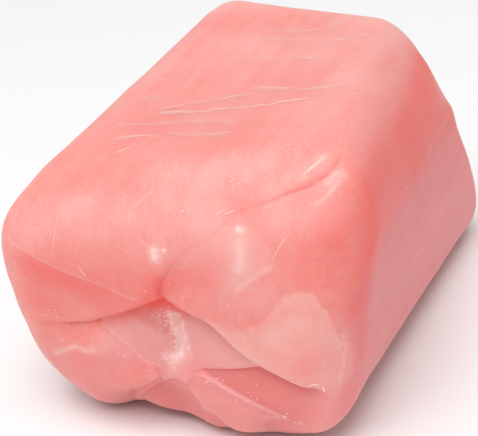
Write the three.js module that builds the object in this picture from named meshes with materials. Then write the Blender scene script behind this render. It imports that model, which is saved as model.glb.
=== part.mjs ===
// A fruit chew out of its wrapper: one block of soft candy, pushed a little out of square,
// whose two ends keep the pleats of the waxed paper that was folded over them.
// Millimetres, +Z up. The end that shows faces -Y, and the block rests flat on z = 0.

import * as THREE from "three";
import { mergeVertices } from "three/addons/utils/BufferGeometryUtils.js";

// The block while it is still square
const blockWidth = 15.3;
const blockLength = 21.6;
const blockHeight = 12.2;
const half = new THREE.Vector3(blockWidth, blockLength, blockHeight).multiplyScalar(0.5);

// Rows of facets across, along and up the block, and how far the rows crowd towards the two ends
const rowsAcross = 32;
const rowsAlong = 26;
const rowsUp = 26;
const endCrowding = 1.25;

// How far each corner is pushed out of square, and its rounding along x, y and z
const corners = [
  { side: [-1, -1, -1], push: [0, 0.3, 0], round: [4.2, 2.6, 4.6] },
  { side: [-1, -1, 1], push: [-0.35, -0.9, -1.1], round: [3.6, 1.9, 4.1] },
  { side: [-1, 1, -1], push: [0, 0, 0], round: [2.5, 2.5, 2.5] },
  { side: [-1, 1, 1], push: [0.95, 0.6, 0.65], round: [3.6, 2.1, 2.8] },
  { side: [1, -1, -1], push: [-0.93, -0.25, 0], round: [3.1, 2, 3] },
  { side: [1, -1, 1], push: [1.2, 0.85, 0.65], round: [1.8, 3, 3] },
  { side: [1, 1, -1], push: [0.76, 0.1, 0], round: [2.5, 2.1, 2.8] },
  { side: [1, 1, 1], push: [-1.95, -0.8, -0.5], round: [3.2, 2.4, 5.7] },
];

// The pleats of one end. A point of a line is [across, up, roll, drop]: where it lies on the unrolled end,
// how wide the pleat rolls over there, and how deep its edge drops. The pleat lies left of its line,
// seen from outside. Across is 0 at the middle of the block, and an up past its height goes over the top.
const flapLowerEdge = [
  [-9.6, 11.8, 0.2, 0], [-7.7, 10.95, 0.2, 0], [-6.7, 10.1, 0.2, 0.03], [-5.3, 9.2, 0.2, 0.08],
  [-4.1, 8.5, 0.2, 0.11], [-2.5, 7.7, 0.2, 0.12], [-1, 6.9, 0.25, 0.16], [-0.55, 6.95, 0.28, 0.26],
];
const lobeLowerEdge = [
  [-0.1, 7, 1.3, 0.42], [0.4, 6.6, 0.8, 0.4], [0.9, 6.35, 0.6, 0.4], [1.7, 5.95, 0.45, 0.42],
  [2.8, 4.9, 0.35, 0.45], [3.8, 4.2, 0.3, 0.42], [4.8, 3.75, 0.3, 0.36], [5.8, 3.35, 0.3, 0.22],
  [6.4, 3.3, 0.3, 0.08], [7.2, 3, 0.3, 0],
];

// The furrow between the flap and the right lobe: [across, up, the flap's roll, the lobe's roll, drop]
const furrow = [
  [-0.3, 7.3, 0.3, 2.2, 0.36], [-0.1, 7.8, 0.35, 2.6, 0.33], [0.15, 8.2, 0.35, 2.6, 0.26],
  [0.5, 8.7, 0.4, 2.5, 0.18], [1.1, 9.25, 0.5, 2.3, 0.11], [1.6, 9.5, 0.5, 2, 0.07],
  [2.3, 10, 0.5, 1.5, 0.05], [3.1, 11, 0.4, 1, 0.07], [3.9, 11.35, 0.3, 0.8, 0.14],
  [4.9, 12.05, 0.3, 0.5, 0.22], [5.5, 12.45, 0.3, 0.5, 0.24], [6, 13, 0.3, 0.4, 0.18],
  [6.3, 13.9, 0.35, 0.4, 0.1], [6.5, 14.8, 0.4, 0.3, 0.02],
];
const tuckLowerEdge = [
  [-9.5, 5.5, 0.5, 0], [-7.6, 5.4, 0.7, 0.02], [-6.2, 5.4, 0.6, 0.1], [-5.1, 5.55, 0.5, 0.2],
  [-4.1, 5.65, 0.4, 0.3], [-3.4, 5.72, 0.3, 0.35], [-2.9, 5.9, 0.28, 0.35], [-1.9, 6.25, 0.28, 0.35],
  [-1.1, 6.6, 0.28, 0.38], [-0.3, 6.95, 0.3, 0.4],
];
const leftLobeEdge = [
  [-2.6, -1.8, 1.8, 0.6], [-2.5, 0.1, 2, 0.75], [-1.85, 1.3, 1.6, 0.7], [-1.2, 2.4, 0.9, 0.5],
  [-0.6, 3.15, 0.7, 0.3], [-0.75, 3.6, 0.9, 0.22], [-1.28, 4, 1.4, 0.25], [-2, 4.66, 1.8, 0.28],
  [-2.8, 5.3, 1.9, 0.35], [-3.2, 5.75, 1.8, 0.5], [-4.3, 5.75, 1.7, 0.6], [-5.5, 5.6, 1.6, 0.35],
  [-7.6, 5.6, 1.6, 0.05], [-9.5, 5.8, 1.4, 0],
];
const floorEdge = [
  [-9, 5.9, 0.4, 0.5], [-3.6, 6, 0.5, 0.4], [-3.1, 5.7, 0.6, 0.15], [-2.8, 5.3, 0.8, 0.1],
  [-2, 4.66, 0.8, 0.08], [-1.28, 4, 0.5, 0.08], [-0.8, 3.3, 0.3, 0.2], [-0.5, 2.75, 0.25, 0.35],
  [-0.1, 2.92, 0.3, 0.35], [0.3, 2.9, 0.3, 0.3], [0.62, 2.75, 0.3, 0.15], [0.9, 3.3, 0.3, 0.08],
  [1.3, 3.72, 0.3, 0.08], [1.9, 3.78, 0.3, 0.1], [2.7, 3.85, 0.3, 0.12], [3.4, 3.98, 0.3, 0.15],
  [4.2, 4.15, 0.3, 0.2],
];
const stripEdge = [
  [-2.3, -1, 0.3, 0.6], [-1.75, 0.7, 0.25, 0.3], [-1.15, 1.95, 0.2, 0.15], [-0.55, 2.66, 0.2, 0.1],
  [-0.1, 2.9, 0.2, 0.1], [0.3, 2.9, 0.3, 0.2], [0.6, 3.4, 0.3, 0.3],
];
const lowerFlapEdge = [
  [9.2, -0.6, 0.2, 0], [7.5, 0, 0.2, 0.03], [6, 0.92, 0.15, 0.12], [4.9, 1.72, 0.15, 0.16],
  [3.7, 2.46, 0.15, 0.18], [2.5, 3.07, 0.15, 0.16], [1.8, 3.4, 0.2, 0.12], [1.3, 3.62, 0.3, 0.06],
  [0.9, 3.4, 0.5, 0.04], [0.66, 2.8, 0.3, 0.12], [1, 1.95, 0.25, 0.3], [1.2, 1.1, 0.25, 0.3],
  [1.35, 0.4, 0.4, 0.25], [1.45, -0.3, 0.6, 0.1], [1.6, -1.8, 0.8, 0],
];

// A pleat's edge rolls over at least this wide, and past its line it falls this steeply. A narrow roll is
// round, between a chamfer at 1 and a circle at 2, and a wide one eases off like a cushion's.
const narrowestRoll = 0.45;
const edgeFall = 1.8;
const narrowBlunt = 1.8;
const wideBlunt = 1.15;
const easesFrom = 0.5;
const easedFully = 1.8;

// The tucked facet slopes in under the flap, and ends below the flap's tip
const tuckStart = 0.14;
const tuckSlope = 0.09;
const tuckDeepest = 0.42;
const tuckFullFrom = 4.6;
const tuckEndsAt = 8;
const tuckStops = -0.3;
const tuckPastSlope = 1.8;

// The floor of the hollow slopes in under the lobe, the strip leads down beside the arch,
// and the pit behind the lower flap closes towards the side
const floorStart = 0.24;
const floorSlope = 0.26;
const floorDeepest = 1.15;
const stripStart = 0.42;
const stripSlope = 0.7;
const stripWide = 0.4;
const pitStart = 0.3;
const pitSlope = 0.25;
const pitDeepest = 0.7;
const pitClosesFrom = 5;
const pitClosesAt = 7.6;

// Soft swellings and hollows of each layer: where they are, how far they reach and how much they rise
const swellings = {
  flap: [{ at: [5.3, 13.4], reach: 0.7, rise: 0.08 }],
  lobe: [{ at: [4.6, 7.2], reach: 2.6, rise: 0.2 }, { at: [6.2, 11.8], reach: 0.7, rise: 0.1 }],
  left: [{ at: [-3.2, 2.2], reach: 2, rise: 0.1 }, { at: [-6.6, 3.2], reach: 2, rise: -0.22 }],
  floor: [
    { at: [0.35, 5.2], reach: 0.45, rise: 0.14 },
    { at: [0.2, 3.9], reach: 0.6, rise: 0.14 },
    { at: [0.7, 3.4], reach: 0.5, rise: 0.16 },
    { at: [-0.3, 7], reach: 0.9, rise: -0.15 },
    { at: [-3.9, 6.1], reach: 1, rise: -0.4 },
    { at: [-5.8, 5.8], reach: 1.6, rise: -0.5 },
  ],
  lower: [
    { at: [0.9, 3.1], reach: 0.8, rise: -0.16 },
    { at: [2.9, 1.9], reach: 1.3, rise: 0.08 },
    { at: [3, 0.2], reach: 1, rise: 0.26 },
    { at: [5, -0.6], reach: 1.4, rise: -0.16 },
    { at: [4.6, 0.1], reach: 0.6, rise: -0.2 },
    { at: [1.6, 0], reach: 0.5, rise: -0.2 },
  ],
  pit: [
    { at: [0.9, -0.6], reach: 1.5, rise: 0.6 },
    { at: [-0.9, -0.6], reach: 1.2, rise: 0.5 },
    { at: [0.2, 0.9], reach: 1.3, rise: -0.4 },
  ],
};

// The pleats fade out along the block and round its left edge, and the end that doesn't show is pressed
// more lightly
const fadeStart = 2.4;
const fadeEnd = 5.6;
const rimClosesFrom = 5.4;
const rimClosesAt = 7.3;
const shownEnd = { facing: -1, strength: 1 };
const hiddenEnd = { facing: 1, strength: 0.6 };

const samplesPerLine = 100;
const facetGap = 1e-4;

// The paper's creases come out soft: each height is drawn towards its neighbours' by this share
const softenShare = 0.5;

function clamp(value, low, high) {
  return Math.min(Math.max(value, low), high);
}

// Blend of a value held at the eight corners, at a place given in half sizes of the block
function blendCorners(place, key) {
  const blended = new THREE.Vector3();
  for (const corner of corners) {
    const weight = corner.side.reduce(
      (share, side, axis) => (share * (1 + side * place.getComponent(axis))) / 2,
      1,
    );
    blended.addScaledVector(new THREE.Vector3(...corner[key]), weight);
  }
  return blended;
}

// The plain rounded block: a place on the unit cube's skin becomes a place on the chew in millimetres
function blockPoint(place) {
  const round = blendCorners(place, "round");
  const flat = place.clone().multiply(half);
  const core = new THREE.Vector3();
  for (let axis = 0; axis < 3; axis += 1) {
    const limit = half.getComponent(axis) - round.getComponent(axis);
    core.setComponent(axis, clamp(flat.getComponent(axis), -limit, limit));
  }
  const turned = flat.sub(core).divide(round).normalize().multiply(round);
  const point = core.add(turned);
  point.add(blendCorners(point.clone().divide(half), "push"));
  point.z += half.z;
  return point;
}

// A place on an end that is unrolled flat, taken back to the unit cube's skin: past the end's rim
// it goes on over the face behind
function endPlace(across, up, facing) {
  const pastRim = Math.max(Math.abs(up - half.z) - half.z, 0) + Math.max(Math.abs(across) - half.x, 0);
  const x = clamp((-facing * across) / half.x, -1, 1);
  const z = clamp(up / half.z - 1, -1, 1);
  return new THREE.Vector3(x, facing * (1 - pastRim / half.y), z);
}

// A pleat's line laid on the block, as samples with their roll and drop
function layLine(points, facing) {
  const onBlock = points.map(([across, up]) => blockPoint(endPlace(across, up, facing)));
  const curve = new THREE.CatmullRomCurve3(onBlock);
  const samples = [];
  for (let step = 0; step <= samplesPerLine; step += 1) {
    const along = step / samplesPerLine;
    const index = along * (points.length - 1);
    const first = Math.min(Math.floor(index), points.length - 2);
    const [, , roll, drop] = points[first];
    const [, , nextRoll, nextDrop] = points[first + 1];
    samples.push({
      point: curve.getPoint(along),
      roll: Math.max(THREE.MathUtils.lerp(roll, nextRoll, index - first), narrowestRoll),
      drop: THREE.MathUtils.lerp(drop, nextDrop, index - first),
    });
  }
  return samples;
}

// How far a point lies left of a line, minus on the other side, with the roll and drop beside it
function reachOver(samples, point, normal) {
  const distances = samples.map((sample) => sample.point.distanceToSquared(point));
  const nearest = distances.indexOf(Math.min(...distances));
  let best = { reach: Infinity };
  for (const first of [nearest - 1, nearest]) {
    if (first < 0 || first > samples.length - 2) {
      continue;
    }
    const [from, to] = [samples[first], samples[first + 1]];
    const stretch = to.point.clone().sub(from.point);
    const offset = point.clone().sub(from.point);
    const share = clamp(offset.dot(stretch) / stretch.lengthSq(), 0, 1);
    offset.addScaledVector(stretch, -share);
    const side = new THREE.Vector3().crossVectors(normal, stretch).dot(offset) < 0 ? -1 : 1;
    if (offset.length() < Math.abs(best.reach)) {
      best = {
        reach: side * offset.length(),
        roll: THREE.MathUtils.lerp(from.roll, to.roll, share),
        drop: THREE.MathUtils.lerp(from.drop, to.drop, share),
      };
    }
  }
  return best;
}

// Height of a pleat whose edge rolls down to its line
function pleatHeight({ reach, roll, drop }) {
  if (reach <= 0) {
    return -drop + edgeFall * reach;
  }
  const left = Math.max(1 - reach / roll, 0);
  const wide = THREE.MathUtils.smoothstep(roll, easesFrom, easedFully);
  const blunt = THREE.MathUtils.lerp(narrowBlunt, wideBlunt, wide);
  const rolled = -drop * (1 - (1 - left ** blunt) ** (1 / blunt));
  return THREE.MathUtils.lerp(rolled, -drop * left ** 2, wide);
}

// The paper's pleats on one end, as a function that gives the height over the plain block
function makeEnd({ facing, strength }) {
  const flapSide = furrow.map(([across, up, roll, , drop]) => [across, up, roll, drop]);
  const lobeSide = furrow.map(([across, up, , roll, drop]) => [across, up, roll, drop]).reverse();
  const lines = {
    flap: layLine([...flapLowerEdge, ...flapSide], facing),
    lobe: layLine([...lobeSide, ...lobeLowerEdge], facing),
    tuck: layLine(tuckLowerEdge, facing),
    left: layLine(leftLobeEdge, facing),
    floor: layLine(floorEdge, facing),
    strip: layLine(stripEdge, facing),
    lower: layLine(lowerFlapEdge, facing),
  };
  const places = Object.values(swellings).flat().map(({ at }) => at);
  const centreOf = new Map(places.map((at) => [at, blockPoint(endPlace(...at, facing))]));

  return (place, point, normal) => {
    const fade = 1 - THREE.MathUtils.smoothstep(half.y - facing * point.y, fadeStart, fadeEnd);
    if (fade <= 0) {
      return 0;
    }
    const swell = (layer) => swellings[layer].reduce((sum, { at, reach, rise }) => {
      const distance = centreOf.get(at).distanceTo(point);
      return sum + rise * Math.exp(-((distance / reach) ** 2));
    }, 0);
    const across = -facing * place.x * half.x;
    const over = Object.fromEntries(
      Object.entries(lines).map(([layer, line]) => [layer, reachOver(line, point, normal)]),
    );
    const underFlap = Math.min(tuckStart + tuckSlope * Math.max(-over.flap.reach, 0), tuckDeepest);
    const tuckShare = 1 - THREE.MathUtils.smoothstep(-across, tuckFullFrom, tuckEndsAt);
    const closing = 1 - THREE.MathUtils.smoothstep(across, pitClosesFrom, pitClosesAt);
    const sunk = Math.min(floorStart + floorSlope * Math.max(over.floor.reach, 0), floorDeepest);
    const besideArch = stripStart + stripSlope * Math.max(over.strip.reach - stripWide, 0);
    const below = Math.min(pitStart + pitSlope * Math.max(-over.lower.reach, 0), pitDeepest);
    const highest = Math.max(
      pleatHeight(over.flap) + swell("flap"),
      pleatHeight(over.lobe) + swell("lobe"),
      pleatHeight(over.left) + swell("left"),
      pleatHeight(over.lower) + swell("lower"),
      pleatHeight(over.tuck) - underFlap * tuckShare - tuckPastSlope * Math.max(across - tuckStops, 0),
      pleatHeight(over.floor) - sunk * closing + swell("floor"),
      pleatHeight(over.strip) - besideArch,
      (swell("pit") - below) * closing,
    );
    const rim = 1 - THREE.MathUtils.smoothstep(-across, rimClosesFrom, rimClosesAt);
    return strength * fade * rim * highest;
  };
}

// The unit cube's skin in facets, with its rows crowded towards the ends
function makeSkin() {
  const box = new THREE.BoxGeometry(2, 2, 2, rowsAcross, rowsAlong, rowsUp);
  box.deleteAttribute("normal");
  box.deleteAttribute("uv");
  const skin = mergeVertices(box, facetGap);
  const places = skin.attributes.position;
  for (let index = 0; index < places.count; index += 1) {
    const along = places.getY(index);
    places.setY(index, Math.sin(along * endCrowding) / Math.sin(endCrowding));
  }
  return skin;
}

// Every height drawn towards the mean of its neighbours on the skin
function soften(heights, index) {
  const sums = new Float64Array(heights.length);
  const counts = new Float64Array(heights.length);
  for (let corner = 0; corner < index.count; corner += 1) {
    const from = index.getX(corner);
    const to = index.getX(corner % 3 === 2 ? corner - 2 : corner + 1);
    sums[from] += heights[to];
    counts[from] += 1;
  }
  return heights.map((height, at) => height + softenShare * (sums[at] / counts[at] - height));
}

function makeChew() {
  const geometry = makeSkin();
  const points = geometry.attributes.position;
  const places = [];
  for (let index = 0; index < points.count; index += 1) {
    places.push(new THREE.Vector3().fromBufferAttribute(points, index));
    const point = blockPoint(places[index]);
    points.setXYZ(index, point.x, point.y, point.z);
  }
  geometry.computeVertexNormals();

  const ends = [makeEnd(shownEnd), makeEnd(hiddenEnd)];
  const normals = geometry.attributes.normal;
  const point = new THREE.Vector3();
  const normal = new THREE.Vector3();
  const heights = new Float64Array(points.count);
  for (let index = 0; index < points.count; index += 1) {
    point.fromBufferAttribute(points, index);
    normal.fromBufferAttribute(normals, index);
    const height = ends.reduce((sum, end) => sum + end(places[index], point, normal), 0);
    heights[index] = point.z < facetGap ? Math.min(height, 0) : height;
  }
  const softened = soften(heights, geometry.index);
  for (let index = 0; index < points.count; index += 1) {
    point.fromBufferAttribute(points, index);
    normal.fromBufferAttribute(normals, index);
    point.addScaledVector(normal, softened[index]);
    points.setXYZ(index, point.x, point.y, Math.max(point.z, 0));
  }

  geometry.computeBoundingBox();
  const middle = geometry.boundingBox.getCenter(new THREE.Vector3());
  geometry.translate(-middle.x, -middle.y, 0);
  return geometry;
}

const candy = new THREE.MeshStandardMaterial({ color: 0xf29b94, roughness: 0.5, metalness: 0 });
const chew = new THREE.Mesh(makeChew(), candy);
chew.name = "chew";

const group = new THREE.Group();
group.add(chew);

export default group;
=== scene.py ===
import math

import bmesh
import bpy
import numpy as np
from mathutils import Matrix, Vector
from mathutils.bvhtree import BVHTree
from mathutils.interpolate import poly_3d_calc
from mathutils.noise import noise


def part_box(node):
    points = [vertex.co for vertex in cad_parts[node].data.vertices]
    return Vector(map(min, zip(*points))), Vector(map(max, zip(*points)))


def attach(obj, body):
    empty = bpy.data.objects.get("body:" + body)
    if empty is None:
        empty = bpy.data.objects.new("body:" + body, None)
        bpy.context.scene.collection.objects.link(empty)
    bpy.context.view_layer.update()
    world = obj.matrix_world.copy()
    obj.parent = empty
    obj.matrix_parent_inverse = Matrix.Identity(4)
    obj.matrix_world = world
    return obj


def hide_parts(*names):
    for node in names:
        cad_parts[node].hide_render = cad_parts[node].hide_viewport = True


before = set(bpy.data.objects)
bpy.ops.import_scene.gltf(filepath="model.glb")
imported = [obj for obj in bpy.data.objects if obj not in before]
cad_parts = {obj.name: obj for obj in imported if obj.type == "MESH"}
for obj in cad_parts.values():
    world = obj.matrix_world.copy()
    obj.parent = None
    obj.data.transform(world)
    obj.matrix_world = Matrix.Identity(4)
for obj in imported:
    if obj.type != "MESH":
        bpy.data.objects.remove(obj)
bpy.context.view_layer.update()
cadLow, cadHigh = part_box("chew")
mm = 0.001

# The block while it is still square, in mm, and how each corner is pushed out of square and rounded
block = {
    "size": np.array([15.3, 21.6, 12.2]),
    "corners": [
        # side, push, rounding along x, y and z
        ((-1, -1, -1), (0, 0.3, 0), (4.2, 2.6, 4.6)),
        ((-1, -1, 1), (-0.35, -0.9, -1.1), (3.6, 1.9, 4.1)),
        ((-1, 1, -1), (0, 0, 0), (2.5, 2.5, 2.5)),
        ((-1, 1, 1), (0.95, 0.6, 0.65), (3.6, 2.1, 2.8)),
        ((1, -1, -1), (-0.93, -0.25, 0), (3.1, 2, 3)),
        ((1, -1, 1), (1.2, 0.85, 0.65), (1.8, 3, 3)),
        ((1, 1, -1), (0.76, 0.1, 0), (2.5, 2.1, 2.8)),
        ((1, 1, 1), (-1.95, -0.8, -0.5), (3.2, 2.4, 5.7)),
    ],
    "rows": (62, 84, 50),     # faces across, along and up before the fine ones are cut
    "waves": [(0.06, 0.22), (0.03, 0.6)],     # how high and how close together its skin is uneven
    "inside": 0.1,            # how much smaller than the CAD box the finished skin is, at least
}
# Where the skin is cut finer: on the shown end, then near the pleats of each end
fine = {
    "shownEnd": -0.97, "pastRim": 0.8,      # places along the unit cube
    "nearShown": 0.5, "overRim": 0.4, "nearBehind": 0.6, "atEdges": 0.12,     # mm from a pleat's line
}

# The paper's pleats on an end. A point is (across, up, roll, drop): where it lies on the flattened end,
# how wide the pleat rolls over there and how deep its edge drops. Seen from outside, a pleat lies left
# of its line.
pleats = {
    "flap": [(-9.6, 11.6, 0.2, 0), (-7.7, 10.8, 0.2, 0), (-6.7, 10.1, 0.2, 0.02), (-5.3, 9.2, 0.2, 0.05),
             (-4.1, 8.5, 0.2, 0.07), (-2.5, 7.7, 0.2, 0.09), (-1, 6.9, 0.25, 0.14), (-0.55, 6.95, 0.28, 0.22),
             (-0.3, 7.3, 0.3, 0.26), (-0.1, 7.8, 0.35, 0.17), (0.15, 8.2, 0.35, 0.1), (0.5, 8.7, 0.4, 0.07),
             (1.1, 9.25, 0.5, 0.05), (1.6, 9.5, 0.5, 0.03), (2.3, 10, 0.5, 0.04), (3.1, 11, 0.4, 0.06),
             (3.9, 11.35, 0.3, 0.1), (4.9, 12.05, 0.3, 0.15), (5.5, 12.45, 0.3, 0.17), (6, 13, 0.3, 0.14),
             (6.3, 13.9, 0.35, 0.1), (6.5, 14.8, 0.4, 0.02)],
    "lobe": [(6.5, 14.8, 0.3, 0.02), (6.3, 13.9, 0.4, 0.1), (6, 13, 0.4, 0.14), (5.5, 12.45, 0.5, 0.17),
             (4.9, 12.05, 0.5, 0.15), (3.9, 11.35, 0.8, 0.1), (3.1, 11, 1, 0.07), (2.3, 10, 1.5, 0.05),
             (1.6, 9.5, 2, 0.05), (1.1, 9.25, 2.3, 0.07), (0.5, 8.7, 2.5, 0.1), (0.15, 8.2, 2.6, 0.14),
             (-0.1, 7.8, 2.6, 0.21), (-0.3, 7.3, 2.2, 0.33), (-0.1, 7, 1.3, 0.4), (0.4, 6.6, 0.8, 0.4),
             (0.9, 6.35, 0.6, 0.38), (1.7, 5.95, 0.45, 0.37), (2.8, 4.9, 0.35, 0.38), (3.8, 4.2, 0.3, 0.34),
             (4.8, 3.75, 0.3, 0.28), (5.8, 3.35, 0.3, 0.15), (6.4, 3.3, 0.3, 0.06), (7.2, 3, 0.3, 0)],
    "tuck": [(-9.5, 5.5, 0.5, 0), (-7.6, 5.4, 0.7, 0.02), (-6.2, 5.4, 0.6, 0.03), (-5.1, 5.55, 0.5, 0.07),
             (-4.1, 5.65, 0.4, 0.14), (-3.4, 5.72, 0.3, 0.2), (-2.9, 5.9, 0.28, 0.26),
             (-1.9, 6.25, 0.28, 0.31), (-1.1, 6.6, 0.28, 0.35), (-0.3, 6.95, 0.3, 0.39)],
    "left": [(-2.6, -1.8, 1.8, 0.6), (-2.5, 0.1, 2, 0.75), (-1.85, 1.3, 1.6, 0.7), (-1.2, 2.4, 0.9, 0.5),
             (-0.6, 3.15, 0.7, 0.3), (-0.75, 3.6, 0.9, 0.22), (-1.28, 4, 1.4, 0.25), (-2, 4.66, 1.8, 0.28),
             (-2.8, 5.3, 1.9, 0.35), (-3.2, 5.75, 1.8, 0.5), (-4.3, 5.75, 1.7, 0.6), (-5.5, 5.6, 1.6, 0.35),
             (-7.6, 5.6, 1.6, 0.05), (-9.5, 5.8, 1.4, 0)],
    "floor": [(-9, 5.9, 0.4, 0.5), (-3.6, 6, 0.5, 0.4), (-3.1, 5.7, 0.6, 0.15), (-2.8, 5.3, 0.8, 0.1),
              (-2, 4.66, 0.8, 0.08), (-1.28, 4, 0.5, 0.08), (-0.8, 3.3, 0.3, 0.2), (-0.5, 2.75, 0.25, 0.35),
              (-0.1, 2.92, 0.3, 0.35), (0.3, 2.9, 0.3, 0.3), (0.62, 2.75, 0.3, 0.15), (0.9, 3.3, 0.3, 0.08),
              (1.3, 3.72, 0.3, 0.08), (1.9, 3.78, 0.3, 0.1), (2.7, 3.85, 0.3, 0.12), (3.4, 3.98, 0.3, 0.15),
              (4.2, 4.15, 0.3, 0.2)],
    "strip": [(-2.3, -1, 0.3, 0.6), (-1.75, 0.7, 0.25, 0.3), (-1.15, 1.95, 0.2, 0.15),
              (-0.55, 2.66, 0.2, 0.1), (-0.1, 2.9, 0.2, 0.1), (0.3, 2.9, 0.3, 0.2), (0.6, 3.4, 0.3, 0.3)],
    "lower": [(9.2, -0.6, 0.2, 0), (7.5, 0, 0.2, 0.01), (6, 0.92, 0.2, 0.03), (4.9, 1.72, 0.2, 0.03),
              (3.7, 2.46, 0.2, 0.03), (2.5, 3.07, 0.2, 0.03), (1.8, 3.4, 0.2, 0.03), (1.3, 3.62, 0.3, 0.04),
              (0.9, 3.4, 0.5, 0.04), (0.66, 2.8, 0.3, 0.12), (1, 1.95, 0.25, 0.3), (1.2, 1.1, 0.25, 0.3),
              (1.35, 0.4, 0.4, 0.25), (1.45, -0.3, 0.6, 0.1), (1.6, -1.8, 0.8, 0)],
}
relief = {
    "lineSteps": 120,
    "edgeFall": 2.4,      # how steeply a pleat falls past its line
    "tuckSlope": 0.1, "tuckStart": 0.06, "tuckDeepest": 0.42, "tuckFullFrom": 4.6, "tuckEndsAt": 8,
    "floorSlope": 0.26, "floorStart": 0.24, "floorDeepest": 1.15,
    "stripStart": 0.42, "stripSlope": 0.7, "stripWide": 0.4, "tuckStops": -0.3, "tuckPastSlope": 1.8,
    "pitSlope": 0.27, "pitStart": 0.13, "pitDeepest": 0.58,
    "lobeSwells": [((4.6, 7.2), 2.6, 0.2), ((6.2, 11.8), 0.7, 0.1)],
    "flapSwells": [((5.3, 13.4), 0.7, 0.08)],
    "leftSwells": [((-3.2, 2.2), 2, 0.1), ((-6.6, 3.2), 2, -0.22)],
    "floorSwells": [((0.35, 5.2), 0.45, 0.14), ((0.2, 3.9), 0.6, 0.14), ((0.7, 3.4), 0.5, 0.16),
                    ((-0.3, 7), 0.9, -0.1), ((-3.9, 6.1), 1, -0.34), ((-5.8, 5.8), 1.6, -0.38),
                    ((2.4, 5.4), 1.1, 0.14), ((3.6, 4.6), 0.8, 0.1), ((1.2, 6), 0.7, 0.12)],
    "lowerSwells": [((0.9, 3.1), 0.8, -0.16), ((2.9, 1.9), 1.3, 0.08), ((3, 0.2), 1, 0.32),
                    ((5, -0.6), 1.4, -0.18), ((4.6, 0.1), 0.65, -0.28), ((1.6, 0), 0.5, -0.2)],
    "pitSwells": [((0.9, -0.6), 1.5, 0.42), ((-0.9, -0.6), 1.2, 0.32), ((0.2, 0.9), 1.3, -0.48),
                  ((4.8, 3.3), 1.1, 0.14), ((1.5, 4.9), 1.2, -0.4)],
    "pitCloses": (5, 7.6),
    "rimCloses": (5.4, 7.3),
    "fade": (2.4, 5.6),   # the pleats die out this far in from the end
}
# Where the shown faces stand out a little more, or less: face, place, reach, rise
bumps = [("side", (9.8, 7.1), 0.6, 0.15), ("side", (9.9, 8.9), 1.1, -0.35), ("side", (9.6, 10.9), 1.2, -0.12),
         ("side", (10.3, 4.6), 2.4, 0.1), ("side", (-7, 0.8), 1.2, -0.08), ("end", (-7.7, 6.6), 1.9, 0.18),
         ("end", (-7.7, 11.2), 1.2, 0.2), ("end", (-6.7, 12.8), 1.7, -0.2), ("end", (-5.5, 2.2), 1.2, 0.05),
         ("end", (-7.2, 3.7), 1.1, -0.12), ("end", (7.2, 0.6), 0.9, 0.16)]
# The seam of the wrapper on a side, as (along, up): the skin below it is pressed in a little and brushed, and
# takes a painted sheen
seam = {
    "line": [(10.9, 6.6), (10.1, 7.1), (9, 7.4), (4.5, 7.6), (0, 7.7), (-3.5, 8), (-6.5, 8.1), (-8.4, 8),
             (-9.3, 7.6), (-10.1, 6.9), (-10.8, 6.2)],
    "samples": 80,
    "step": 0.07,
    "stepCloses": (-3, -0.5),     # far below the seam the skin is back at its own height
    "edge": 0.1,                  # how softly the rubbed skin starts
    "fullBelow": (0, 1.6), "faintBelow": (0.8, 4),     # how far below the seam it is full, then fainter
}
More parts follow.
